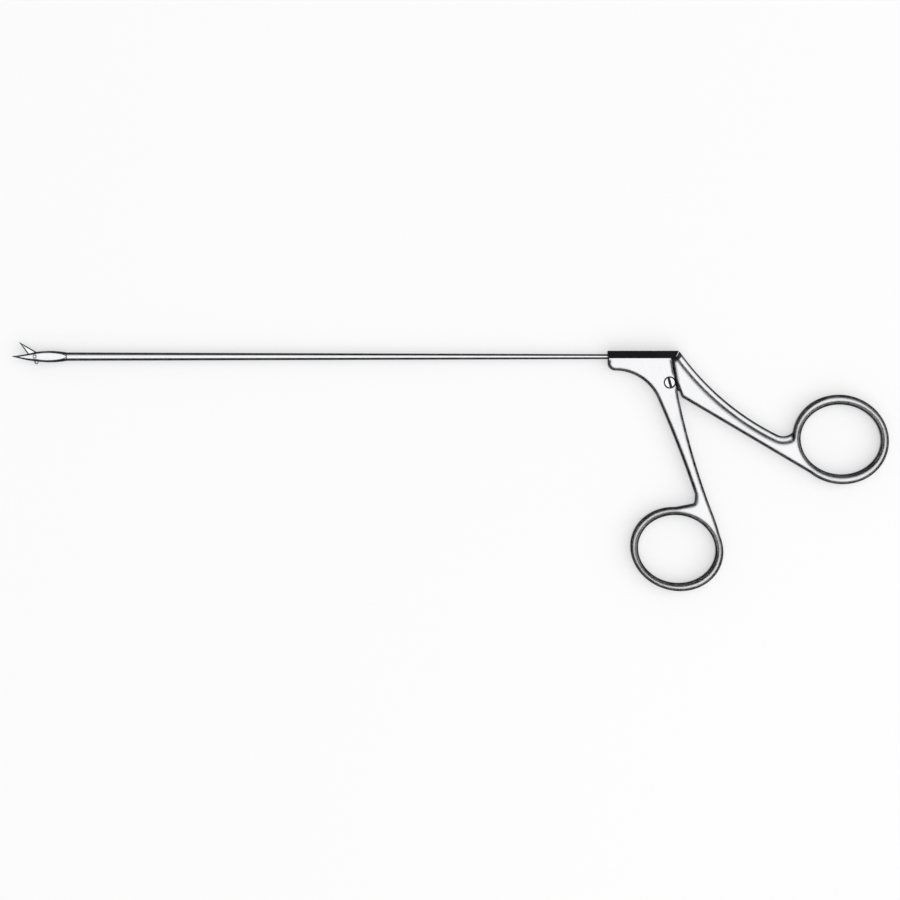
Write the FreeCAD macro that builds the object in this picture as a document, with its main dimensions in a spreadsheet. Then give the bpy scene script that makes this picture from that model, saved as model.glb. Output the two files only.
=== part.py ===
# Long-shaft scissors with ring handles, lying on its side. Millimetres.
# X runs along the shaft towards the handles, Y is the side the shaft is on and Z is the thickness.
# The origin is on the handle pivot's axis, in the flat underside of the head.
import FreeCAD, Part
import math
import os
import re
import Sketcher

V = FreeCAD.Vector
doc = FreeCAD.newDocument("long_shaft_scissors")

# Driving sizes: name, value, what it is. Angles are in degrees.
SIZES = [
    ("head_thickness", 5.6, "thickness of both handles"),
    ("slot_gap", 0.06, "side clearance of the thumb handle's hub in the head's slot"),
    ("handle_gap", 0.3, "clearance between the two handles' shoulders"),
    ("braze_gap", 0.02, "radial clearance of brazed and pressed joints"),
    ("run_gap", 0.05, "radial clearance of turning joints"),

    ("rod_height", 9.75, "shaft axis above the handle pivot"),
    ("working_length", 223.5, "front face of the head to the blades' tip"),
    ("head_front", 23.2, "front face of the head ahead of the handle pivot"),
    ("tube_tip_radius", 1.6, "tube's outer radius at the jaw"),
    ("tube_root_radius", 0.95, "tube's outer radius at the head"),
    ("tube_tip_wall", 0.5, "tube's wall at the jaw"),
    ("tube_root_wall", 0.32, "tube's wall at the head"),
    ("tube_socket", 7.2, "length of tube inside the head"),
    ("rod_radius", 0.45, "drive rod's radius"),
    ("rod_gap", 0.12, "drive rod's clearance in its guides"),

    ("blade_angle", 42.0, "turn of the moving blade from open to closed"),

    ("jaw_length", 20.4, "seam of the jaw housing behind the tip"),
    ("jaw_half_width", 1.6, "milled side of the jaw from its middle"),
    ("jaw_slot_length", 13.2, "end of the blade slot behind the tip"),
    ("jaw_ear_start", 7.7, "front of the far ear behind the tip"),
    ("jaw_spigot", 4.0, "length of the jaw's spigot inside the tube"),
    ("blade_thickness", 1.1, "moving blade"),
    ("blade_gap", 0.035, "moving blade's clearance to each ear"),
    ("blade_pivot_x", 8.5, "blade pivot behind the tip"),
    ("blade_pin_radius", 0.45, "blade pivot pin"),
    ("blade_reach", 8.3, "moving blade's tip ahead of its pivot"),
    ("blade_tip_rise", 0.07, "moving blade's tip above its pivot, closed"),
    ("blade_heel_x", 2.7, "rear end of the cutting edge ahead of the blade pivot"),
    ("blade_heel_drop", 1.08, "rear end of the cutting edge below the blade pivot"),
    ("blade_back_x", 0.38, "rear end of the moving blade's back ahead of its pivot"),
    ("blade_back_height", 1.75, "rear end of the moving blade's back above its pivot"),
    ("blade_hub", 1.3, "half height of the moving blade at its pivot"),
    ("blade_tail", 0.6, "thickness of the moving blade's tail"),
    ("blade_tail_start", 0.2, "step to the thin tail behind the blade pivot"),
    ("cam_drop", 1.2, "drive pin's line below the blade pivot"),
    ("cam_front", 0.32, "drive pin behind the blade pivot when open"),
    ("cam_back", 1.85, "drive pin behind the blade pivot when closed"),
    ("cam_pin_radius", 0.3, "drive pin"),
    ("cam_wall", 0.35, "wall round the cam slot and the drive pin"),
    ("cam_gap", 0.06, "drive pin's clearance in the cam slot"),
    ("tongue_thickness", 0.42, "flattened front end of the rod"),
    ("tongue_root", 10.1, "front end of the round rod behind the tip, when open"),
    ("tongue_overlap", 1.0, "length over which the tongue and the round rod are one"),

    ("rail_height", 2.7, "height of the rail on the head"),
    ("rail_bottom", 9.2, "rail's underside above the pivot"),
    ("rail_back_low", 2.1, "rail's rear end behind the pivot, at its underside"),
    ("rail_back_high", 3.4, "rail's rear end behind the pivot, at its top"),
    ("rail_roof", 0.75, "rail over the channel for the drive arm"),

    ("screw_head_radius", 1.95, "pivot screw's head"),
    ("screw_head_height", 1.0, "pivot screw's head"),
    ("screw_head_proud", 0.15, "how far the screw's head stands out of the plate"),
    ("screw_sink_gap", 0.25, "clearance round the screw's head"),
    ("screw_radius", 1.25, "pivot screw's shank"),
    ("screw_slot_width", 0.7, "screwdriver slot"),
    ("screw_slot_depth", 0.55, "screwdriver slot"),
    ("screw_slot_angle", 105.0, "screwdriver slot's direction"),
    ("screw_short", 0.3, "the screw's end below the far face"),

    ("hub_radius", 3.3, "thumb handle's hub round the pivot"),
    ("hub_room", 0.45, "clearance round the hub in the head's slot"),
    ("hub_thickness", 2.8, "thumb handle's hub and drive arm"),
    ("arm_half_width", 2.05, "drive arm"),
    ("arm_reach", 10.85, "end of the drive arm from the pivot"),
    ("barrel_radius", 1.0, "rod's cross barrel"),
    ("barrel_length", 2.4, "rod's cross barrel"),
    ("barrel_hole_depth", 0.5, "end of the rod past the barrel's middle"),

    ("head_belly", 4.55, "underside of the head's nose above the pivot"),
    ("head_corner", 2.8, "corner radius of the head's nose"),
    ("rest_ahead", 9.9, "deepest point of the finger rest ahead of the pivot"),
    ("rest_above", 1.05, "deepest point of the finger rest above the pivot"),
    ("throat_ahead", 4.4, "top of the front shank's fore edge ahead of the pivot"),
    ("throat_below", 5.85, "top of the front shank's fore edge below the pivot"),
    ("shank_fore_x", 9.6, "foot of the front shank's fore edge behind the pivot"),
    ("shank_foot_rise", 20.6, "foot of the front shank's fore edge above the finger ring's middle"),
    ("shank_bow", 0.45, "how far the front shank's fore edge bows backwards"),
    ("corner_x", 9.45, "start of the corner between shank and ring behind the pivot"),
    ("corner_rise", 18.0, "start of that corner above the finger ring's middle"),
    ("corner_turn_x", 9.1, "turn of that corner behind the pivot"),
    ("corner_turn_rise", 17.25, "turn of that corner above the finger ring's middle"),
    ("corner_end_x", 8.2, "end of that corner behind the pivot"),
    ("corner_end_rise", 16.95, "end of that corner above the finger ring's middle"),
    ("ring_top_turn", 109.6, "direction from the finger ring's middle to its straight top's end"),
    ("ring_top_inside", 1.87, "that end short of the ring's long half axis"),
    ("head_back_top", 0.8, "head's rear edge behind the pivot, under the rail"),
    ("head_back", 2.35, "head's rear edge behind the pivot, beside the screw"),
    ("shank_back_x", 15.6, "foot of the front shank's rear edge behind the pivot"),
    ("shank_back_rise", 14.6, "foot of the front shank's rear edge above the finger ring's middle"),
    ("shank_back_top", 3.3, "top of the front shank's rear edge behind the pivot"),
    ("shank_back_bow", 0.85, "how far the front shank's rear edge bows forwards"),
    ("shank_curve_x", 17.8, "middle of the curve from shank to ring behind the pivot"),
    ("shank_curve_rise", 8.6, "middle of that curve above the finger ring's middle"),
    ("shank_end_turn", 3.0, "direction from the finger ring's middle to that curve's end"),
    ("shank_end_inside", 0.48, "that end short of the ring's long half axis"),
    ("slot_foot", 7.0, "foot of the head's slot below the pivot"),
    ("ring_x", 2.7, "middle of the finger ring behind the pivot"),
    ("ring_drop", 62.45, "middle of the finger ring below the pivot"),
    ("ring_long", 17.6, "finger ring's long outer half axis"),
    ("ring_flat", 2.0, "how much shorter the finger ring's other outer half axis is"),
    ("ring_tilt", -17.7, "finger ring's long axis off the shaft's direction"),
    ("ring_ends", 3.0, "finger ring's band at the ends of its long axis"),
    ("ring_sides", 2.9, "finger ring's band at its sides"),
    ("hole_tilt", -9.0, "finger hole's long axis off the shaft's direction"),
    ("edge_round", 0.58, "rounding of the handles' outer edges"),
    ("hole_round", 1.0, "rounding of both holes' edges"),

    ("jaw_bulge", 13.8, "widest place of the jaw housing behind the tip"),
    ("jaw_bulge_radius", 2.19, "half height of the jaw housing at its widest"),
    ("jaw_pivot_height", 1.78, "half height of the jaw housing at the blade pivot"),
    ("jaw_round", 1.95, "half width of the round blank that the blade is milled from"),
    ("throat_back", 5.8, "foot of the cutting edges behind the tip"),
    ("throat_shift", -0.15, "middle of the fixed blade there, off the shaft's axis"),
    ("throat_height", 1.27, "half height of the fixed blade there"),
    ("nose_back", 2.5, "start of the fixed blade's point behind the tip"),
    ("nose_shift", -0.07, "middle of the fixed blade there, off the shaft's axis"),
    ("nose_height", 0.6, "half height of the fixed blade there"),
    ("tip_shift", 0.1, "middle of the fixed blade's tip, off the shaft's axis"),
    ("tip_height", 0.15, "half height of the fixed blade's tip"),
    ("tip_width", 1.0, "half width of the blank at the tip"),

    ("thumb_corner_x", 3.75, "thumb handle's top corner behind the pivot"),
    ("thumb_corner_y", 11.6, "thumb handle's top corner above the pivot"),
    ("arch_ahead", 3.375, "a point of the thumb shank's hollow top edge ahead of its ends' middle"),
    ("arch_sag", 1.05, "that point below its ends' middle"),
    ("neck_ahead", 5.5, "start of the neck's curve ahead of the thumb ring's front"),
    ("neck_rise", 1.65, "start of the neck's curve above the thumb ring's middle"),
    ("neck_turn_ahead", 2.2, "turn of the neck's curve ahead of the thumb ring's front"),
    ("neck_turn_rise", 1.35, "turn of the neck's curve above the thumb ring's middle"),
    ("neck_end_turn", 163.0, "direction from the thumb ring's middle to the neck curve's end"),
    ("neck_end_inside", 0.7, "that end short of the ring's long half axis"),
    ("shoulder_drop", 5.4, "foot of the head's rear edge below the pivot"),
    ("foot_below", 0.8, "foot of the thumb handle's shoulder below the head's, closed"),
    ("bevel_width", 2.4, "bevel along the thumb shank's top edge, across the face"),
    ("bevel_depth", 1.1, "bevel along the thumb shank's top edge, down the side"),
    ("thumb_foot_turn", 237.6, "direction from the thumb ring's middle to the bottom edge's end"),
    ("thumb_foot_inside", 1.47, "that end short of the ring's long half axis"),
    ("thumb_ring_x", 64.2, "middle of the thumb ring behind the pivot"),
    ("thumb_ring_drop", 21.35, "middle of the thumb ring below the pivot"),
    ("thumb_ring_long", 18.1, "thumb ring's long outer half axis"),
    ("thumb_ring_flat", 1.4, "how much shorter the thumb ring's other outer half axis is"),
    ("thumb_ring_tilt", -14.4, "thumb ring's long axis off the shaft's direction"),
    ("thumb_ring_ends", 3.0, "thumb ring's band at the ends of its long axis"),
    ("thumb_ring_sides", 3.6, "thumb ring's band at its sides"),
    ("thumb_hole_tilt", -4.6, "thumb hole's long axis off the shaft's direction"),
]

sheet = doc.addObject("Spreadsheet::Sheet", "Sizes")
for row, (alias, value, meaning) in enumerate(SIZES, start=1):
    sheet.set(f"A{row}", meaning)
    sheet.set(f"B{row}", str(value))
    sheet.setAlias(f"B{row}", alias)
doc.recompute()


def sized(text):
    """The expression with the sheet's name put before each size."""
    return re.sub(r"\b(?!pi\b)([a-z]\w*)\b(?!\s*\()", r"Sizes.\1", str(text))


def value(text):
    """The number that an expression in sizes comes to."""
    result = sheet.evalExpression(sized(text))
    return float(getattr(result, "Value", result))


def bind(thing, **sizes):
    """Tie properties of an object to expressions in sizes."""
    for name, text in sizes.items():
        thing.setExpression(name, sized(text))


def new_body(name, x="0", y="0", z="head_thickness / 2"):
    """A sub-part whose own origin is at the given place."""
    body = doc.addObject("PartDesign::Body", name)
    for axis, text in zip("xyz", (x, y, z)):
        body.setExpression(f".Placement.Base.{axis}", sized(text))
    return body


def new_sketch(body, name, plane="XY_Plane", lift="0", turn="0"):
    """A sketch on one of the body's planes, lifted off it and turned in it."""
    sketch = body.newObject("Sketcher::SketchObject", name)
    support = next(f for f in body.Origin.OriginFeatures if f.Role == plane)
    sketch.AttachmentSupport = [(support, "")]
    sketch.MapMode = "FlatFace"
    sketch.setExpression(".AttachmentOffset.Base.z", sized(lift))
    if turn != "0":
        sketch.AttachmentOffset = FreeCAD.Placement(V(), FreeCAD.Rotation(V(0, 0, 1), value(turn)))
        sketch.setExpression(".AttachmentOffset.Rotation.Angle", sized(turn))
    return sketch


def pin_point(sketch, shape, end, x, y):
    """Tie one point of a sketch's geometry to a place given in sizes."""
    for kind, text in (("DistanceX", x), ("DistanceY", y)):
        index = sketch.addConstraint(Sketcher.Constraint(kind, shape, end, value(text)))
        sketch.setExpression(f"Constraints[{index}]", sized(text))


def outline(sketch, *steps):
    """A closed outline through the given places.

    A step (x, y) is a straight run to that place.
    A step (via_x, via_y, x, y) is an arc by way of the first pair.
    """
    corner = [(steps[-1][-2], steps[-1][-1])] + [(step[-2], step[-1]) for step in steps]
    place = [V(value(x), value(y), 0) for x, y in corner]
    runs = []
    for index, step in enumerate(steps):
        start, end = place[index], place[index + 1]
        if len(step) == 2:
            runs.append((sketch.addGeometry(Part.LineSegment(start, end), False), 1, 2))
            continue
        via = V(value(step[0]), value(step[1]), 0)
        run = sketch.addGeometry(Part.Arc(start, via, end), False)
        turns_left = (via - start).cross(end - via).z > 0
        runs.append((run, 1, 2) if turns_left else (run, 2, 1))
        mark = sketch.addGeometry(Part.Point(via), True)
        pin_point(sketch, mark, 1, step[0], step[1])
        sketch.addConstraint(Sketcher.Constraint("PointOnObject", mark, 1, run))
    for index, (run, first, last) in enumerate(runs):
        following = runs[(index + 1) % len(runs)]
        sketch.addConstraint(Sketcher.Constraint("Coincident", run, last, following[0], following[1]))
        pin_point(sketch, run, last, *corner[index + 1])
    return sketch


def circle(sketch, x, y, radius):
    """A circle whose middle and radius are given in sizes."""
    middle = V(value(x), value(y), 0)
    shape = sketch.addGeometry(Part.Circle(middle, V(0, 0, 1), value(radius)), False)
    pin_point(sketch, shape, 3, x, y)
    index = sketch.addConstraint(Sketcher.Constraint("Radius", shape, value(radius)))
    sketch.setExpression(f"Constraints[{index}]", sized(radius))
    return sketch


def ellipse(sketch, x, y, long_half, short_half, tilt="0"):
    """An ellipse whose long axis is tilted off the sketch's first axis."""
    middle = V(value(x), value(y), 0)
    turn = FreeCAD.Rotation(V(0, 0, 1), value(tilt))
    long_end = middle + turn.multVec(V(value(long_half), 0, 0))
    short_end = middle + turn.multVec(V(0, value(short_half), 0))
    shape = sketch.addGeometry(Part.Ellipse(long_end, short_end, middle), False)
    sketch.exposeInternalGeometry(shape)
    pin_point(sketch, shape, 3, x, y)
    drives = (
        (Sketcher.Constraint("Distance", shape + 1, 2 * value(long_half)), f"2 * ({long_half})"),
        (Sketcher.Constraint("Distance", shape + 2, 2 * value(short_half)), f"2 * ({short_half})"),
        (Sketcher.Constraint("Angle", shape + 1, math.radians(value(tilt))), tilt),
    )
    for drive, text in drives:
        index = sketch.addConstraint(drive)
        sketch.setExpression(f"Constraints[{index}]", sized(text))
    return sketch


def pad(body, name, sketch, length, symmetric=True, reverse=False):
    """Material over a sketch's outline."""
    feature = body.newObject("PartDesign::Pad", name)
    feature.Profile = sketch
    feature.SideType = "Symmetric" if symmetric else "One side"
    feature.Reversed = reverse
    bind(feature, Length=length)
    doc.recompute()
    return feature


def pocket(body, name, sketch, length="4 * working_length", symmetric=True, reverse=False):
    """A cut over a sketch's outline, far past the piece where no length is given."""
    before = body.Shape.Volume
    feature = body.newObject("PartDesign::Pocket", name)
    feature.Profile = sketch
    feature.SideType = "Symmetric" if symmetric else "One side"
    feature.Reversed = reverse
    bind(feature, Length=length)
    doc.recompute()
    if body.Shape.Volume > before - 1e-6:
        raise ValueError(f"{name} cut nothing from {body.Label}")
    return feature


def rectangle(sketch, left, bottom, right, top):
    """A rectangle with its corners in two opposite places."""
    return outline(sketch, (right, bottom), (right, top), (left, top), (left, bottom))


def turned(x, y, angle):
    """A place turned about the sketch's origin."""
    return (f"(({x}) * cos({angle}) - ({y}) * sin({angle}))",
            f"(({x}) * sin({angle}) + ({y}) * cos({angle}))")


def in_ring(ring, end):
    """An outline's end inside a ring's band, by its direction from the ring's middle."""
    across, along = turned(f"{ring}_long - {end}_inside", "0", f"{end}_turn")
    return f"{ring}_x + {across}", f"{along} - {ring}_drop"


# Places and turns that follow from the sizes
TIP_X = "-(head_front + working_length)"
CAM_TRAVEL = "(cam_back - cam_front)"
LEAN = f"atan({CAM_TRAVEL} / 2 / rod_height)"
BARREL_X = f"(-{CAM_TRAVEL} / 2)"
SLOT_THICKNESS = "(hub_thickness + 2 * slot_gap)"
RAIL_TOP = "(rail_bottom + rail_height)"
SLOT_FRONT = "(hub_radius + hub_room)"
FACE = "head_thickness / 2"
DIAGONAL = "sin(45)"

# Places this near to a line count as on it
NEAR = 0.01


def edge_names(shape, wanted):
    """Names of the edges that are wanted."""
    return [f"Edge{number}" for number, edge in enumerate(shape.Edges, start=1) if wanted(edge)]


def round_edges(body, name, radius, wanted):
    """Round the edges that are wanted."""
    base = body.Tip
    feature = body.newObject("PartDesign::Fillet", name)
    feature.Base = (base, edge_names(base.Shape, wanted))
    bind(feature, Radius=radius)
    doc.recompute()
    return feature


def on_a_face(edge):
    """Whether an edge lies flat in one of the handle's two faces."""
    heights = [edge.valueAt(edge.FirstParameter).z, edge.valueAt(edge.LastParameter).z]
    return all(abs(abs(height) - value("head_thickness / 2")) < NEAR for height in heights) \
        and heights[0] * heights[1] > 0


def round_handle(body, stays_sharp):
    """Round a handle's outline, apart from the edges that stay sharp, and then its hole."""
    round_edges(body, "OutlineRounding", "edge_round",
                lambda edge: on_a_face(edge) and not edge.isClosed() and not stays_sharp(edge))
    round_edges(body, "HoleRounding", "hole_round", lambda edge: on_a_face(edge) and edge.isClosed())


def within(edge, holds):
    """Whether a condition holds at all corners of an edge."""
    return all(holds(corner.Point) for corner in edge.Vertexes)


def is_arch(edge):
    """Whether an edge follows the arched top of the thumb handle's shank."""
    return edge.Curve.TypeId == "Part::GeomCircle" and edge.Curve.Radius > value("thumb_ring_long")


def bevel_arch(body):
    """Bevel both edges of the shank's arched top."""
    base = body.Tip
    feature = body.newObject("PartDesign::Chamfer", "ArchBevel")
    feature.Base = (base, edge_names(base.Shape, lambda edge: on_a_face(edge) and is_arch(edge)))
    feature.ChamferType = "Two distances"
    bind(feature, Size="bevel_width", Size2="bevel_depth")
    doc.recompute()


def make_front_handle():
    """Fixed handle: slotted head, shank and finger ring."""
    body = new_body("front_handle", z=FACE)
    plate = outline(
        new_sketch(body, "PlateOutline"),
        ("-head_front", "rail_bottom"),
        ("-head_front", "head_belly + head_corner"),
        (f"-head_front + head_corner * (1 - {DIAGONAL})", f"head_belly + head_corner * (1 - {DIAGONAL})",
         "-head_front + head_corner", "head_belly"),
        ("-rest_ahead", "rest_above", "-throat_ahead", "-throat_below"),
        ("(shank_fore_x - throat_ahead) / 2 + shank_bow", "(shank_foot_rise - ring_drop - throat_below) / 2",
         "shank_fore_x", "shank_foot_rise - ring_drop"),
        ("corner_x", "corner_rise - ring_drop"),
        ("corner_turn_x", "corner_turn_rise - ring_drop", "corner_end_x", "corner_end_rise - ring_drop"),
        in_ring("ring", "ring_top"),
        ("ring_x", "-ring_drop"),
        in_ring("ring", "shank_end"),
        ("shank_curve_x", "shank_curve_rise - ring_drop", "shank_back_x", "shank_back_rise - ring_drop"),
        ("(shank_back_x + shank_back_top) / 2 - shank_back_bow",
         "(shank_back_rise - ring_drop - shoulder_drop) / 2", "shank_back_top", "-shoulder_drop"),
        ("head_back", "0"),
        ("head_back_top", "rail_bottom"),
    )
    pad(body, "Plate", plate, "head_thickness")
    band = ellipse(new_sketch(body, "RingOutline"), "ring_x", "-ring_drop",
                   "ring_long", "ring_long - ring_flat", "ring_tilt")
    pad(body, "Ring", band, "head_thickness")
    bore = ellipse(new_sketch(body, "RingBore"), "ring_x", "-ring_drop",
                   "ring_long - ring_ends", "ring_long - ring_flat - ring_sides", "hole_tilt")
    pocket(body, "FingerHole", bore)
    shoulder_y = -value("shoulder_drop") - NEAR
    rail_y = value("rail_bottom") - NEAR
    round_handle(body, lambda edge: within(
        edge, lambda place: place.x > 0 and place.y > shoulder_y or place.y > rail_y))
    hub_slot = outline(
        new_sketch(body, "HubSlotOutline"),
        (f"-{SLOT_FRONT}", "rail_bottom * 2"),
        (f"-{SLOT_FRONT}", "0"),
        (f"-{SLOT_FRONT} * {DIAGONAL}", f"-{SLOT_FRONT} * {DIAGONAL}", "0", f"-{SLOT_FRONT}"),
        ("hub_radius", "-slot_foot"),
        ("hub_radius * 4", "-slot_foot"),
        ("hub_radius * 4", "rail_bottom * 2"),
    )
    pocket(body, "HubSlot", hub_slot, SLOT_THICKNESS)
    cut_rod_line(body)
    screw_hole = circle(new_sketch(body, "ScrewHoleCircle"), "0", "0", "screw_radius + braze_gap")
    pocket(body, "ScrewHole", screw_hole)
    sink = circle(new_sketch(body, "ScrewSinkCircle", lift="head_thickness / 2 - screw_head_height"),
                  "0", "0", "screw_head_radius + screw_sink_gap")
    pocket(body, "ScrewSink", sink, symmetric=False, reverse=True)
    return body


def cut_rod_line(body):
    """The tube's socket and the drive rod's channel along the shaft's axis."""
    for name, radius, length in (
        ("TubeSocket", "tube_root_radius + braze_gap", "tube_socket"),
        ("RodChannel", "rod_radius + rod_gap", "head_front"),
    ):
        hole = circle(new_sketch(body, f"{name}Circle", "YZ_Plane", lift="-head_front"),
                      "rod_height", "0", radius)
        pocket(body, name, hole, length, symmetric=False, reverse=True)


def make_top_rail():
    """Bar on the head that closes the channel of the drive rod and arm."""
    body = new_body("top_rail", z=FACE)
    bar = outline(
        new_sketch(body, "BarOutline"),
        ("-head_front", "rail_bottom"),
        ("rail_back_low", "rail_bottom"),
        ("rail_back_high", RAIL_TOP),
        ("-head_front", RAIL_TOP),
    )
    pad(body, "Bar", bar, "head_thickness")
    channel = rectangle(new_sketch(body, "ArmChannelOutline"), f"-{SLOT_FRONT}", "rail_bottom / 2",
                        "rail_back_high * 2", f"{RAIL_TOP} - rail_roof")
    pocket(body, "ArmChannel", channel, SLOT_THICKNESS)
    cut_rod_line(body)
    return body


def make_thumb_handle():
    """Moving handle: hub, forked drive arm, shank and thumb ring."""
    body = new_body("thumb_handle", z=FACE)
    foot_x, foot_y = shoulder_foot()
    ring_front = "thumb_ring_x - thumb_ring_long"
    neck_x = f"({ring_front} - neck_ahead)"
    neck_y = "(neck_rise - thumb_ring_drop)"
    shank = outline(
        new_sketch(body, "ShankOutline"),
        (foot_x, foot_y),
        ("head_back + handle_gap", "0"),
        ("head_back_top + handle_gap", "rail_bottom - handle_gap"),
        ("rail_back_low + handle_gap", "rail_bottom - handle_gap"),
        ("thumb_corner_x", "thumb_corner_y"),
        (f"(thumb_corner_x + {neck_x}) / 2 - arch_ahead", f"(thumb_corner_y + {neck_y}) / 2 - arch_sag",
         neck_x, neck_y),
        (f"{ring_front} - neck_turn_ahead", "neck_turn_rise - thumb_ring_drop",
         *in_ring("thumb_ring", "neck_end")),
        ("thumb_ring_x", "-thumb_ring_drop"),
        in_ring("thumb_ring", "thumb_foot"),
    )
    pad(body, "Shank", shank, "head_thickness")
    band = ellipse(new_sketch(body, "RingOutline"), "thumb_ring_x", "-thumb_ring_drop",
                   "thumb_ring_long", "thumb_ring_long - thumb_ring_flat", "thumb_ring_tilt + 180")
    pad(body, "Ring", band, "head_thickness")
    bore = ellipse(new_sketch(body, "RingBore"), "thumb_ring_x", "-thumb_ring_drop",
                   "thumb_ring_long - thumb_ring_ends", "thumb_ring_long - thumb_ring_flat - thumb_ring_sides",
                   "thumb_hole_tilt + 180")
    pocket(body, "ThumbHole", bore)
    bevel_arch(body)
    corner_x = value("thumb_corner_x") + NEAR
    shoulder_x = value(foot_x) + NEAR
    round_handle(body, lambda edge: is_arch(edge) or within(
        edge, lambda place: place.x < corner_x or place.x < shoulder_x and place.y < 0))
    hub = circle(new_sketch(body, "HubCircle"), "0", "0", "hub_radius")
    pad(body, "Hub", hub, "hub_thickness")
    root = "head_back + handle_gap * 4"
    arm = outline(
        new_sketch(body, "ArmOutline"),
        turned("-arm_half_width", "0", LEAN),
        (root, "-hub_radius"),
        (f"{root} + shoulder_drop / 2", "-shoulder_drop / 2"),
        (f"{root} + shoulder_drop / 4", "rail_bottom / 2"),
        (root, "rail_bottom - handle_gap"),
        turned("arm_half_width", "arm_reach", LEAN),
        turned("-arm_half_width", "arm_reach", LEAN),
    )
    pad(body, "Arm", arm, "hub_thickness")
    notch = rectangle(new_sketch(body, "NotchOutline", turn=LEAN),
                      "-barrel_radius - run_gap", "rod_height - barrel_radius - run_gap",
                      "barrel_radius + run_gap", "arm_reach * 2")
    pocket(body, "BarrelNotch", notch, SLOT_THICKNESS)
    slit = rectangle(new_sketch(body, "SlitOutline", turn=LEAN),
                     "-arm_half_width * 2", "rod_height - rod_radius - rod_gap * 2", "0", "arm_reach * 2")
    pocket(body, "RodSlit", slit, "2 * (rod_radius + rod_gap)")
    pivot = circle(new_sketch(body, "PivotCircle"), "0", "0", "screw_radius + run_gap")
    pocket(body, "PivotHole", pivot)
    return body


def shoulder_foot():
    """Foot of the thumb handle's shoulder: beside the front shank's rear edge once closed."""
    slant = "(shank_back_x - shank_back_top) / (ring_drop - shank_back_rise - shoulder_drop)"
    return turned(f"shank_back_top + handle_gap + foot_below * {slant}", "-shoulder_drop - foot_below",
                  f"(2 * {LEAN})")


def make_pivot_screw():
    """Slotted screw through both handles."""
    body = new_body("pivot_screw", z=FACE)
    head = circle(new_sketch(body, "HeadCircle", lift="head_thickness / 2 - screw_head_height"),
                  "0", "0", "screw_head_radius")
    pad(body, "Head", head, "screw_head_height + screw_head_proud", symmetric=False)
    shank = circle(new_sketch(body, "ShankCircle", lift="-head_thickness / 2 + screw_short"),
                   "0", "0", "screw_radius")
    pad(body, "Shank", shank, "head_thickness - screw_head_height - screw_short", symmetric=False)
    slot = rectangle(
        new_sketch(body, "SlotOutline", turn="screw_slot_angle",
                   lift="head_thickness / 2 + screw_head_proud - screw_slot_depth"),
        "-screw_head_radius * 2", "-screw_slot_width / 2", "screw_head_radius * 2", "screw_slot_width / 2")
    pocket(body, "Slot", slot, symmetric=False, reverse=True)
    return body


def make_shaft_tube():
    """Long tapering tube, thicker towards the jaw."""
    body = new_body("shaft_tube", y="rod_height", z=FACE)
    start = f"({TIP_X} + jaw_length)"
    wall = outline(
        new_sketch(body, "WallOutline"),
        (start, "tube_tip_radius"),
        (start, "tube_tip_radius - tube_tip_wall"),
        (f"{start} + jaw_spigot", "tube_tip_radius - tube_tip_wall"),
        ("-head_front", "tube_root_radius - tube_root_wall"),
        ("-head_front + tube_socket", "tube_root_radius - tube_root_wall"),
        ("-head_front + tube_socket", "tube_root_radius"),
        ("-head_front", "tube_root_radius"),
    )
    turn_round(body, "Wall", wall)
    return body


def turn_round(body, name, sketch):
    """Material swept right round the sketch's first axis."""
    feature = body.newObject("PartDesign::Revolution", name)
    feature.Profile = sketch
    feature.ReferenceAxis = (sketch, ["H_Axis"])
    feature.Angle = 360
    doc.recompute()
    return feature


# Sections of the jaw from its seam to the blade's tip: distance behind the tip,
# middle above the shaft's axis, half height and least half width
JAW_SECTIONS = (
    ("jaw_length", "0", "tube_tip_radius - 0.005", "tube_tip_radius"),
    ("jaw_bulge", "0", "jaw_bulge_radius", "jaw_half_width"),
    ("blade_pivot_x", "0", "jaw_pivot_height", "jaw_round"),
    ("throat_back", "throat_shift", "throat_height", "jaw_round"),
    ("nose_back", "nose_shift", "nose_height", "jaw_round * 0.85"),
    ("0", "tip_shift", "tip_height", "tip_width"),
)


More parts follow.
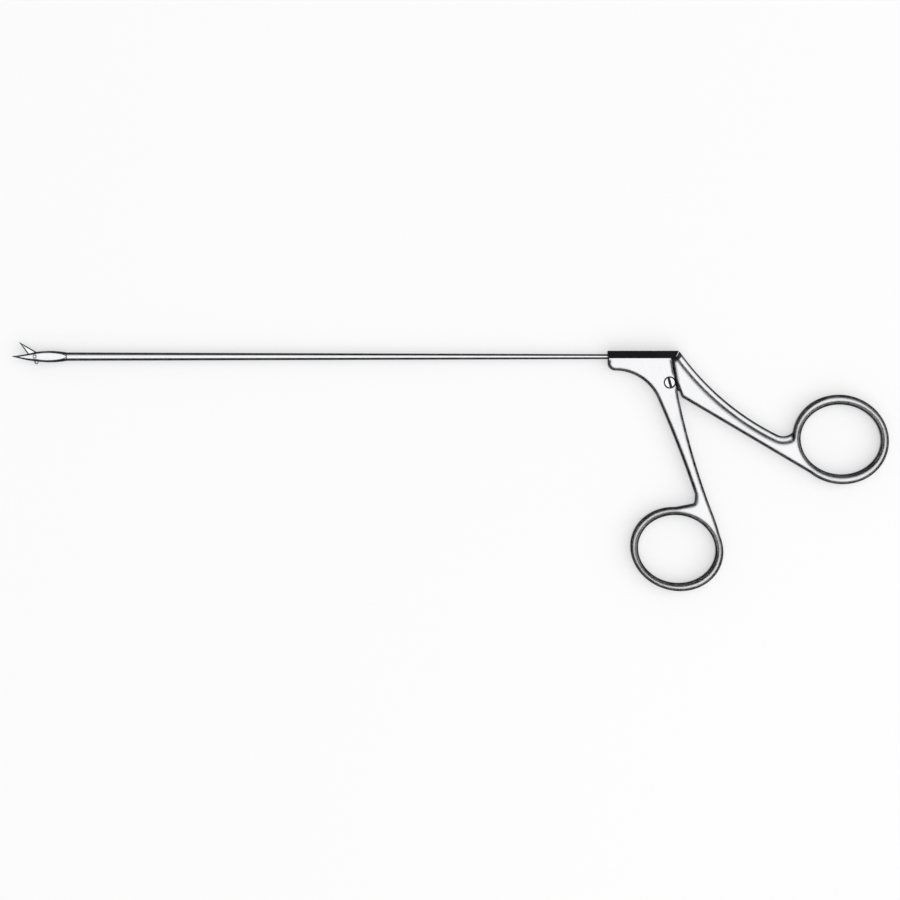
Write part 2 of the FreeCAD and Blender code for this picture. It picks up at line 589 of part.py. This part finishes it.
def make_fixed_blade():
    """Jaw housing with its spigot, ears and the pointed fixed blade."""
    body = new_body("fixed_blade", x=TIP_X, y="rod_height", z=FACE)
    sections = []
    for number, (back, shift, height, width) in enumerate(JAW_SECTIONS):
        section = new_sketch(body, f"Section{number}", "YZ_Plane", lift=back)
        section.AttachmentOffset = FreeCAD.Placement(V(), FreeCAD.Rotation(V(0, 0, 1), 90))
        section.setExpression(".AttachmentOffset.Base.z", sized(back))
        sections.append(ellipse(section, "0", f"-({shift})", f"max({width}; ({height}) * 1.01)", height))
    for name, chosen in (("Housing", sections[:3]), ("Blade", sections[2:])):
        loft = body.newObject("PartDesign::AdditiveLoft", name)
        loft.Profile = chosen[0]
        loft.Sections = chosen[1:]
        doc.recompute()
    sides = new_sketch(body, "SideOutline", "YZ_Plane")
    rectangle(sides, "-jaw_bulge_radius * 2", "jaw_half_width", "jaw_bulge_radius * 2", "jaw_bulge_radius * 2")
    rectangle(sides, "-jaw_bulge_radius * 2", "-jaw_bulge_radius * 2", "jaw_bulge_radius * 2", "-jaw_half_width")
    pocket(body, "MilledSides", sides)
    front = rectangle(new_sketch(body, "EarFrontOutline"), "-jaw_length", "-jaw_bulge_radius * 2",
                      "jaw_ear_start", "jaw_bulge_radius * 2")
    pocket(body, "EarFront", front, symmetric=False)
    slot = rectangle(new_sketch(body, "BladeSlotOutline"), "-jaw_length", "-jaw_bulge_radius * 2",
                     "jaw_slot_length", "jaw_bulge_radius * 2")
    pocket(body, "BladeSlot", slot, "blade_thickness + 2 * blade_gap")
    spigot = circle(new_sketch(body, "SpigotCircle", "YZ_Plane", lift="jaw_length"), "0", "0",
                    "tube_tip_radius - tube_tip_wall - braze_gap")
    pad(body, "Spigot", spigot, "jaw_spigot", symmetric=False)
    channel = circle(new_sketch(body, "RodChannelCircle", "YZ_Plane"), "0", "0", "rod_radius + rod_gap")
    pocket(body, "RodChannel", channel)
    pivot = circle(new_sketch(body, "PivotCircle"), "blade_pivot_x", "0", "blade_pin_radius + braze_gap")
    pocket(body, "PivotHole", pivot)
    return body


def make_blade_pivot_pin():
    """Rivet pin across the jaw's ears."""
    body = new_body("blade_pivot_pin", x=f"{TIP_X} + blade_pivot_x", y="rod_height", z=FACE)
    section = circle(new_sketch(body, "PinCircle"), "0", "0", "blade_pin_radius")
    pad(body, "Pin", section, "2 * jaw_half_width")
    return body


def make_pull_rod():
    """Drive rod, flattened and cranked at its front. Drawn in its foremost place."""
    body = new_body("pull_rod", x=TIP_X, y="rod_height", z=FACE)
    section = circle(new_sketch(body, "RodCircle", "YZ_Plane", lift="tongue_root"), "0", "0", "rod_radius")
    pad(body, "Rod", section, f"{BARREL_X} + barrel_hole_depth - {TIP_X} - tongue_root", symmetric=False)
    eye = "(cam_pin_radius + cam_wall)"
    pin_x = "(blade_pivot_x + cam_front)"
    tongue = outline(
        new_sketch(body, "TongueOutline", lift="-blade_thickness / 2"),
        ("tongue_root + tongue_overlap", "-rod_radius * 0.9"),
        ("tongue_root + tongue_overlap", "rod_radius * 0.9"),
        ("tongue_root", "rod_radius * 0.9"),
        (f"{pin_x} - {eye} * {DIAGONAL}", f"-cam_drop + {eye} * {DIAGONAL}"),
        (f"{pin_x} - {eye}", "-cam_drop", pin_x, f"-cam_drop - {eye}"),
    )
    pad(body, "Tongue", tongue, "tongue_thickness", symmetric=False)
    hole = circle(new_sketch(body, "DrivePinCircle"), pin_x, "-cam_drop", "cam_pin_radius + braze_gap / 2")
    pocket(body, "DrivePinHole", hole)
    return body


def make_drive_pin():
    """Pin in the rod's tongue that runs in the moving blade's cam slot."""
    body = new_body("drive_pin", x=f"{TIP_X} + blade_pivot_x + cam_front", y="rod_height - cam_drop", z=FACE)
    section = circle(new_sketch(body, "PinCircle", lift="-blade_thickness / 2"), "0", "0", "cam_pin_radius")
    pad(body, "Pin", section, "blade_thickness", symmetric=False)
    return body


def make_rod_barrel():
    """Cross barrel on the rod's rear end."""
    body = new_body("rod_barrel", x=BARREL_X, y="rod_height", z=FACE)
    section = circle(new_sketch(body, "BarrelCircle"), "0", "0", "barrel_radius")
    pad(body, "Barrel", section, "barrel_length")
    hole = circle(new_sketch(body, "RodHoleCircle", "YZ_Plane", lift="-barrel_radius * 2"), "0", "0",
                  "rod_radius + braze_gap")
    pocket(body, "RodHole", hole, "barrel_radius * 2 + barrel_hole_depth", symmetric=False, reverse=True)
    return body


def cam_place(share, across, along):
    """A place by the cam slot's middle line, which the drive pin follows as the blade turns evenly.

    The share of the travel is 0 closed and 1 open; across and along are in half widths of the slot.
    """
    x = f"(cam_back - {share} * {CAM_TRAVEL})"
    slope = f"({CAM_TRAVEL} / blade_angle * 180 / pi - cam_drop)"
    unit = f"(cam_pin_radius + cam_gap) / sqrt({x} ^ 2 + {slope} ^ 2)"
    return turned(f"{x} + ({across} * {x} - {along} * {slope}) * {unit}",
                  f"-cam_drop + ({across} * {slope} + {along} * {x}) * {unit}",
                  f"({share} * blade_angle)")


def make_moving_blade():
    """Short pointed blade on the pivot pin, with a thin tail and its cam slot. Drawn closed."""
    body = new_body("moving_blade", x=f"{TIP_X} + blade_pivot_x", y="rod_height", z=FACE)
    body.Placement = FreeCAD.Placement(body.Placement.Base, FreeCAD.Rotation(V(0, 0, -1), value("blade_angle")))
    body.setExpression(".Placement.Rotation.Angle", sized("blade_angle"))
    heading = "(-atan(cam_drop / cam_back))"
    wall = "(cam_pin_radius + cam_gap + cam_wall)"
    reach = "sqrt(cam_back ^ 2 + cam_drop ^ 2)"
    plate = outline(
        new_sketch(body, "BladeOutline"),
        ("-blade_reach", "blade_tip_rise"),
        ("-blade_heel_x", "-blade_heel_drop"),
        turned("0", "-blade_hub", heading),
        turned(f"{reach} / 2", "0", heading),
        turned("0", "blade_hub", heading),
        ("-blade_back_x", "blade_back_height"),
    )
    pad(body, "Blade", plate, "blade_thickness")
    tail = outline(
        new_sketch(body, "TailOutline"),
        turned("0", f"-{wall}", heading),
        turned(reach, f"-{wall}", heading),
        (*turned(f"{reach} + {wall}", "0", heading), *turned(reach, wall, heading)),
        turned("0", "blade_hub", heading),
    )
    pad(body, "Tail", tail, "blade_thickness")
    thin = rectangle(new_sketch(body, "ThinTailOutline", lift="blade_thickness / 2 - blade_tail"),
                     "blade_tail_start", "-blade_reach", "blade_reach", "blade_reach")
    pocket(body, "ThinTail", thin, symmetric=False)
    cam = outline(
        new_sketch(body, "CamSlotOutline"),
        (*cam_place(0.5, 1, 0), *cam_place(1, 1, 0)),
        (*cam_place(1, 0, 1), *cam_place(1, -1, 0)),
        (*cam_place(0.5, -1, 0), *cam_place(0, -1, 0)),
        (*cam_place(0, 0, -1), *cam_place(0, 1, 0)),
    )
    pocket(body, "CamSlot", cam)
    pivot = circle(new_sketch(body, "PivotCircle"), "0", "0", "blade_pin_radius + run_gap")
    pocket(body, "PivotHole", pivot)
    return body


def write_parts():
    """Check every object and write each sub-part's solid."""
    doc.recompute()
    for thing in doc.Objects:
        if "Invalid" in thing.State or "Error" in thing.State:
            raise ValueError(f"{thing.Label} of {thing.getParentGeoFeatureGroup()} failed: {thing.State}")
    os.makedirs("parts", exist_ok=True)
    for body in doc.findObjects("PartDesign::Body"):
        if body.Shape.isNull() or not body.Shape.isValid() or body.Shape.Volume <= 0:
            raise ValueError(f"{body.Label} has no sound shape")
        body.Shape.exportStep(f"parts/{body.Label}.step")
        print(body.Label, len(body.Shape.Solids), round(body.Shape.Volume, 2), body.Shape.BoundBox)


make_front_handle()
make_top_rail()
make_pivot_screw()
make_thumb_handle()
make_shaft_tube()
make_fixed_blade()
make_blade_pivot_pin()
make_moving_blade()
make_pull_rod()
make_drive_pin()
make_rod_barrel()
write_parts()
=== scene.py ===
"""Long-shaft scissors with ring handles, lying on a pale table under soft light.

Lengths are in metres and colours are linear.
"""
import math

import bpy
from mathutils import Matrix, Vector


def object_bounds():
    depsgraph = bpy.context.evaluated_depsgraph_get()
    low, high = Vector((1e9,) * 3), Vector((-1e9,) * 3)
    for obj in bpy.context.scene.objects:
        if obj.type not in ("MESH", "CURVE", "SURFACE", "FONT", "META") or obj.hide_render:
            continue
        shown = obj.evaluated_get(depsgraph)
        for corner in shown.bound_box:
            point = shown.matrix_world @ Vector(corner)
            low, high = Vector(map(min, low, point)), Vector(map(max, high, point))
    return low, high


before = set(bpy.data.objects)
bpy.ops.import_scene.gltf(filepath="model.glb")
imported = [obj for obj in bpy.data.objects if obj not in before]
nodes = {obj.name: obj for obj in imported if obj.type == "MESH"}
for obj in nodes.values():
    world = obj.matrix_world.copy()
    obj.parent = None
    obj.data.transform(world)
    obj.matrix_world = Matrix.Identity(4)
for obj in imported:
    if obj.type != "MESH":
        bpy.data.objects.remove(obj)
cad_low, cad_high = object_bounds()

# The picture: metres to a picture element, elements to a side, and the place of its middle
PIXEL = 0.000375
PICTURE = 900
MIDDLE = Vector((-0.0824, -0.0253, 0.0050))

# Each kind of noise has its size, in steps to a metre, and its detail. The grain's place is
# already squeezed to size.
GRAIN = (1.0, 2.0)
SPECKS = (2600.0, 2.0)
SMUDGES = (46.0, 4.0)
SHADE_PATCHES = (420.0, 3.0)
RAIL_CLOUDS = (90.0, 4.0)
RAIL_WEAR = (900.0, 4.0)
TABLE_CLOUDS = (3.0, 3.0)
# Nearly all values of a noise lie in the first range, and the second takes in its tails
NOISE_CORE = (0.35, 0.65)
NOISE_WIDE = (0.3, 0.7)

# Steel: the tone of smudges and streaks, their share of the roughness and of the relief
SMUDGE_TONE, STREAK_TONE, STREAK_SHARE = 1.06, 0.80, 0.10
SMUDGE_ROUGHNESS, GRAIN_ROUGHNESS = 0.06, 0.05
GRAIN_RELIEF, SPECK_RELIEF, RELIEF_HEIGHT = 0.7, 0.3, 0.00003
SPECULAR = 0.5

# Rail: where it is rubbed, how much at most, and how rough it is
RUBBED_PLACES = (0.52, 0.72)
MOST_RUBBED = 0.5
RAIL_EDGE_WIDTH = 0.0003
RAIL_ROUGHNESS = (0.40, 0.54)

# Near-black painted shade on contours, seams and slots, a little uneven in patches on contours
PAINTED_SHADE = (0.008, 0.008, 0.009, 1.0)
SHADE_PATCH_RANGE = (0.30, 0.62)
LEAST_SHADE = 0.95

# A mask's pair of thresholds says at which value it is 0 and at which it is 1. Here the value is
# the rounded normal along the true one: 1 on open faces, less towards an edge.
EDGE_SEEN = (0.9992, 0.992)
RIM_SEEN = (0.9998, 0.9985)
WALL_EDGE_SEEN = (0.996, 0.980)
WALL_EDGE_WIDTH = 0.0003

# How upright a plate's normal is: 1 on its two faces, 0 on its side walls
BELOW_FACE = (0.985, 0.965)
ABOVE_WALL = (0.06, 0.20)
ABOVE_ROUNDING = (0.885, 0.897)
BELOW_BEVEL = (0.935, 0.923)
ON_FACE = (0.3, 0.5)
BEVEL_TONE = (0.90, 0.90, 0.91, 1.0)
BEVEL_METAL = 0.25

# Painted shade: dark contours are wider where an edge faces the picture's top left
TOP_LEFT = (-0.34, 0.94, 0.0)
LEAN_REACH = 0.0022
SHADED_LEAN = (0.02, 0.05)

# Where the head's edges get no painted shade: distance from the pivot, and height in the picture
SINK_RIM = (0.0050, 0.0046)
UNDER_RAIL = (0.0058, 0.0066)
LEAN_THAT_WAY = (0.0, 0.01)

# The tube's ends along X, and how far to the side its normal leans where a band of painted shade
# begins
TUBE_TIP, TUBE_HEAD = -0.2263, -0.0232
BAND_AT_TIP, BAND_AT_HEAD = 0.40, 0.20
BAND_SOFTNESS = 0.10
BAND_SHARE = 0.98
SIDE_LEFT_BARE = (0.985, 0.95)


class Nodes:
    """Shorthand for building one material's nodes.

    An input is a number, a colour or another node's output.
    """

    def __init__(self, name):
        self.material = bpy.data.materials.new(name)
        self.material.use_nodes = True
        self.tree = self.material.node_tree
        self.shader = self.tree.nodes["Principled BSDF"]

    def add(self, kind, inputs=None, **settings):
        """A node with its settings and inputs."""
        node = self.tree.nodes.new(f"ShaderNode{kind}")
        for key, setting in settings.items():
            setattr(node, key, setting)
        for key, source in (inputs or {}).items():
            self.join(node, key, source)
        return node

    def join(self, node, key, source):
        """Give a node's input a value or another node's output."""
        if isinstance(source, bpy.types.NodeSocket):
            self.tree.links.new(source, node.inputs[key])
        else:
            node.inputs[key].default_value = source

    def shade(self, inputs):
        """Set the shader's inputs and hand over the finished material."""
        for key, source in inputs.items():
            self.join(self.shader, key, source)
        return self.material

    def math(self, operation, *values):
        """The result of one sum."""
        return self.add("Math", dict(enumerate(values)), operation=operation).outputs[0]

    def vector(self, operation, *values):
        """The result of one sum with vectors, which is a number for a length or a dot product."""
        outputs = self.add("VectorMath", dict(enumerate(values)), operation=operation).outputs
        return outputs["Value" if operation in ("LENGTH", "DOT_PRODUCT") else "Vector"]

    def parts(self, vector):
        """A vector's three parts."""
        return self.add("SeparateXYZ", {0: vector}).outputs

    def spread(self, source, low, high, to_low=0.0, to_high=1.0):
        """A number moved from one range to another, held at its ends."""
        node = self.add("MapRange", {0: source, 1: low, 2: high, 3: to_low, 4: to_high})
        return node.outputs[0]

    def both(self, source, first, second):
        """A mask from two pairs of thresholds on one number."""
        return self.math("MULTIPLY", self.spread(source, *first), self.spread(source, *second))

    def blend(self, share, first, second):
        """One colour mixed into another."""
        return self.add("Mix", {0: share, 6: first, 7: second}, data_type="RGBA").outputs[2]

    def noise(self, place, scale, detail):
        """Even noise at a place."""
        node = self.add("TexNoise", {"Vector": place, "Scale": scale, "Detail": detail})
        return node.outputs[0]


def grained(make, angle, along, across):
    """Noise in long streaks at an angle in degrees, and the place in the piece for other noise."""
    place = make.add("TexCoord").outputs["Object"]
    turned = make.add("VectorRotate", {"Vector": place, "Angle": -math.radians(angle)},
                      rotation_type="Z_AXIS").outputs[0]
    squeezed = make.vector("MULTIPLY", turned, (along, across, across))
    return make.noise(squeezed, *GRAIN), place


def two_normals(make, width):
    """The normal as it is with edges rounded over a width, and the true normal."""
    rounded = make.add("Bevel", {"Radius": width}, samples=8).outputs[0]
    return rounded, make.add("NewGeometry").outputs["Normal"]


def edge_mask(make, width, seen=EDGE_SEEN):
    """1 on edges and in corners, 0 on open faces."""
    return make.spread(make.vector("DOT_PRODUCT", *two_normals(make, width)), *seen)


def edge_lean(make, width):
    """A vector that points from a face over its nearest edge, and is nothing on open faces."""
    return make.vector("SUBTRACT", *two_normals(make, width))


def cavity_mask(make, reach, start, full):
    """Painted shade where the surface is hidden: 1 deep in slots, seams and gaps, 0 on open faces.
    """
    open_share = make.add("AmbientOcclusion", {"Distance": reach}, samples=8).outputs["AO"]
    return make.spread(open_share, start, full)


def plate_masks(make):
    """Masks of a plate in its own first two axes: rounded edges, shallow bevel and open faces.

    Only the thumb handle has the bevel, along its arched top.
    """
    upright = make.math("ABSOLUTE", make.parts(make.add("TexCoord").outputs["Normal"])[2])
    edges = make.both(upright, BELOW_FACE, ABOVE_WALL)
    bevel = make.both(upright, ABOVE_ROUNDING, BELOW_BEVEL)
    return make.math("SUBTRACT", edges, bevel), bevel, make.spread(upright, *ON_FACE)


def quiet_edges(make, place, lean):
    """1 on the head's edge under the rail and on the rim of the screw's sink."""
    to_pivot = make.vector("MULTIPLY", place, (-1.0, -1.0, 0.0))
    inward = make.vector("DOT_PRODUCT", lean, make.vector("NORMALIZE", to_pivot))
    sink = make.math("MULTIPLY", make.spread(inward, *LEAN_THAT_WAY),
                     make.spread(make.vector("LENGTH", to_pivot), *SINK_RIM))
    sideways, upward, _ = make.parts(lean)
    to_rail = make.math("SUBTRACT", upward, make.math("ABSOLUTE", sideways))
    top = make.math("MULTIPLY", make.spread(to_rail, *LEAN_THAT_WAY),
                    make.spread(make.parts(place)[1], *UNDER_RAIL))
    return make.math("MAXIMUM", sink, top)


def plate_contours(make, place, edge_width, rounding, face, head):
    """Where a plate gets painted shade: its rounded edges, a rim round its faces, and thin lines
    on its other edges.
    """
    lean = edge_lean(make, LEAN_REACH)
    # Painted shade: the rim is wider where an edge faces the top left, as if lit from the lower
    # right
    shaded = make.spread(make.vector("DOT_PRODUCT", lean, TOP_LEFT), *SHADED_LEAN)
    rim = make.math("MAXIMUM", edge_mask(make, edge_width, RIM_SEEN), shaded)
    if head:
        face = make.math("SUBTRACT", face, quiet_edges(make, place, lean))
    return make.math("MAXIMUM", edge_mask(make, WALL_EDGE_WIDTH, WALL_EDGE_SEEN),
                     make.math("MAXIMUM", rounding, make.math("MULTIPLY", rim, face)))


def flanks(make):
    """Painted shade on a rod lying along its first axis: 1 along both flanks, 0 on top and
    underside.

    The painted dark bands keep their width as the tube tapers towards the head.
    """
    coordinates = make.add("TexCoord").outputs
    sideways = make.math("ABSOLUTE", make.parts(coordinates["Normal"])[1])
    start = make.spread(make.parts(coordinates["Object"])[0], TUBE_TIP, TUBE_HEAD,
                        BAND_AT_TIP, BAND_AT_HEAD)
    full = make.math("ADD", start, BAND_SOFTNESS)
    return make.math("MULTIPLY", make.spread(sideways, start, full, 0.0, BAND_SHARE),
                     make.spread(sideways, *SIDE_LEFT_BARE))


def steel(name, colour, roughness, edge_width, angle=0.0, along=90.0, across=5200.0, bump=0.12,
          edge_dark=1.0, form="solid", head=False, cavity=(0.0009, 0.55, 0.15)):
    """Ground stainless steel: fine grain one way, faint smudges, painted shade on edges, seams and
    slots.

    The form is solid, rod or plate, and a plate with the head keeps two of its edges free of
    painted shade.
    The cavity is the reach and the thresholds of its mask.
    """
    make = Nodes(name)
    grain, place = grained(make, angle, along, across)
    speck = make.noise(place, *SPECKS)
    smudge = make.noise(place, *SMUDGES)
    # The painted shade on edges is a little uneven in random patches
    patchy = make.spread(make.noise(place, *SHADE_PATCHES), *SHADE_PATCH_RANGE, LEAST_SHADE)
    toned = make.blend(make.spread(smudge, *NOISE_CORE), (*colour, 1.0),
                       (*(part * SMUDGE_TONE for part in colour), 1.0))
    metal = 1.0
    # On a plate, painted shade and dark reflection darken the roundings, a rim round the faces and
    # thin edge lines
    if form == "plate":
        rounding, bevel, face = plate_masks(make)
        edge = plate_contours(make, place, edge_width, rounding, face, head)
        toned = make.blend(bevel, toned, BEVEL_TONE)
        metal = make.spread(bevel, 0.0, 1.0, 1.0, BEVEL_METAL)
    else:
        edge = edge_mask(make, edge_width)
    # A rod gets painted shade along both flanks
    if form == "rod":
        edge = make.math("MAXIMUM", edge, flanks(make))
    # Painted shade and dark reflection on edges, and painted shade in seams and slots, in
    # near-black
    edge_shade = make.math("MULTIPLY", make.math("MULTIPLY", edge, patchy), edge_dark)
    dark = make.math("MAXIMUM", edge_shade, cavity_mask(make, *cavity))
    unshaded = make.math("SUBTRACT", 1.0, dark)
    streaked = make.blend(make.spread(grain, *NOISE_CORE, 0.0, STREAK_SHARE), toned,
                          (*(part * STREAK_TONE for part in colour), 1.0))
    rough = make.math("ADD", make.spread(grain, *NOISE_WIDE, roughness - GRAIN_ROUGHNESS,
                                         roughness + GRAIN_ROUGHNESS),
                      make.spread(smudge, *NOISE_CORE, -SMUDGE_ROUGHNESS, SMUDGE_ROUGHNESS))
    height = make.math("ADD", make.math("MULTIPLY", grain, GRAIN_RELIEF),
                       make.math("MULTIPLY", speck, SPECK_RELIEF))
    relief = make.add("Bump", {"Strength": bump, "Distance": RELIEF_HEIGHT, "Height": height})
    return make.shade({
        "Base Color": make.blend(dark, streaked, PAINTED_SHADE),
        "Metallic": make.math("MULTIPLY", metal, unshaded),
        "Specular IOR Level": make.math("MULTIPLY", unshaded, SPECULAR),
        "Roughness": rough,
        "Normal": relief.outputs[0]})


def painted_shade_black(name):
    """Near-black tone painted on the rail as shade, a little brighter where edges have rubbed."""
    black, cloudy = (0.0025, 0.0025, 0.003, 1.0), (0.006, 0.006, 0.0065, 1.0)
    bare = (0.03, 0.03, 0.031, 1.0)
    make = Nodes(name)
    grain, place = grained(make, angle=0.0, along=70.0, across=4200.0)
    toned = make.blend(make.spread(make.noise(place, *RAIL_CLOUDS), *NOISE_CORE), black, cloudy)
    wear = make.spread(make.noise(place, *RAIL_WEAR), *RUBBED_PLACES, 0.0, MOST_RUBBED)
    rubbed = make.math("MULTIPLY", edge_mask(make, RAIL_EDGE_WIDTH), wear)
    relief = make.add("Bump", {"Strength": 0.15, "Distance": RELIEF_HEIGHT, "Height": grain})
    return make.shade({
        "Base Color": make.blend(rubbed, toned, bare),
        "Metallic": 0.0,
        "Roughness": make.spread(grain, *NOISE_WIDE, *RAIL_ROUGHNESS),
        "Specular IOR Level": 0.06,
        "Normal": relief.outputs[0]})


def paint(node_name, material):
    """Give every slot of a piece its material."""
    node = nodes[node_name]
    if not node.material_slots:
        node.data.materials.append(material)
    for slot in node.material_slots:
        slot.link = "OBJECT"
        slot.material = material


def paint_all():
    """Each piece in its own steel, and the rail in near-black painted shade."""
    handle = {"colour": (0.58, 0.58, 0.59), "roughness": 0.34, "edge_width": 0.0014,
              "form": "plate"}
    blade = {"along": 200.0, "across": 9000.0}
    inner_steel = (0.50, 0.50, 0.52)
    paint("front_handle", steel("front_handle_steel", angle=-73.0, head=True, **handle))
    paint("thumb_handle", steel("thumb_handle_steel", angle=-33.0, **handle))
    paint("top_rail", painted_shade_black("rail_black"))
    paint("shaft_tube", steel("tube_steel", (0.58, 0.58, 0.60), roughness=0.26,
                              edge_width=0.0003, angle=90.0, along=60.0, across=6000.0,
                              bump=0.10, form="rod"))
    paint("pull_rod", steel("rod_steel", inner_steel, roughness=0.25, edge_width=0.0001,
                            edge_dark=0.5))
    paint("fixed_blade", steel("fixed_blade_steel", (0.56, 0.57, 0.58), roughness=0.24,
                               edge_width=0.0006, angle=80.0, form="rod", **blade))
    paint("moving_blade", steel("moving_blade_steel", (0.60, 0.61, 0.62), roughness=0.20,
                                edge_width=0.0009, angle=-60.0, **blade))
    paint("pivot_screw", steel("screw_steel", (0.60, 0.60, 0.61), roughness=0.22,
                               edge_width=0.00035, angle=20.0, cavity=(0.0020, 0.90, 0.62)))
    for small in ("blade_pivot_pin", "drive_pin", "rod_barrel"):
        paint(small, steel(f"{small}_steel", inner_steel, roughness=0.22, edge_width=0.00012,
                           edge_dark=0.6))


def floor():
    """A wide table, white to the camera and grey in the steel. It keeps the object's shadow."""
    grey, clouded, white = ((tone, tone, tone, 1.0) for tone in (0.50, 0.49, 1.0))
    half_side, gap_below, glow = 6.0, 0.00005, 0.425
    make = Nodes("table_white")
    cloud = make.noise(make.add("TexCoord").outputs["Object"], *TABLE_CLOUDS)
    seen = make.add("LightPath").outputs["Is Camera Ray"]
    material = make.shade({
        "Base Color": make.blend(seen, grey, make.blend(cloud, clouded, grey)),
        "Emission Color": white,
        "Emission Strength": make.math("MULTIPLY", seen, glow),
        "Roughness": 0.9,
        "Specular IOR Level": 0.1})
    low = cad_low.z - gap_below
    corners = [(x * half_side, y * half_side, low)
               for x, y in ((-1.0, -1.0), (1.0, -1.0), (1.0, 1.0), (-1.0, 1.0))]
    mesh = bpy.data.meshes.new("table")
    mesh.from_pydata(corners, [], [(0, 1, 2, 3)])
    table = bpy.data.objects.new("table", mesh)
    table.data.materials.append(material)
    bpy.context.scene.collection.objects.link(table)


def studio():
    """One wide soft lamp above, turned to the picture's middle, in an evenly grey room."""
    world = bpy.data.worlds.new("room")
    bpy.context.scene.world = world
    world.use_nodes = True
    background = world.node_tree.nodes["Background"].inputs
    background["Color"].default_value = (0.62, 0.62, 0.62, 1.0)
    background["Strength"].default_value = 1.0
    data = bpy.data.lights.new("overhead", "AREA")
    data.shape = "SQUARE"
    data.size = 4.4
    data.energy = 64.0
    place = Vector((0.8, -0.4, 2.2))
    lamp = bpy.data.objects.new("overhead", data)
    lamp.location = place
    lamp.rotation_mode = "QUATERNION"
    lamp.rotation_quaternion = (MIDDLE - place).to_track_quat("-Z", "Y")
    bpy.context.scene.collection.objects.link(lamp)


def camera():
    """Straight down on the object as it lies, at the picture's scale."""
    data = bpy.data.cameras.new("camera")
    data.lens = 180.0
    data.sensor_width = 36.0
    data.clip_start = 0.05
    data.clip_end = 20.0
    distance = PICTURE * PIXEL * data.lens / data.sensor_width
    camera_object = bpy.data.objects.new("camera", data)
    camera_object.location = MIDDLE + Vector((0.0, 0.0, distance))
    bpy.context.scene.collection.objects.link(camera_object)
    bpy.context.scene.camera = camera_object


paint_all()
floor()
studio()
camera()
bpy.context.scene.view_settings.view_transform = "Standard"
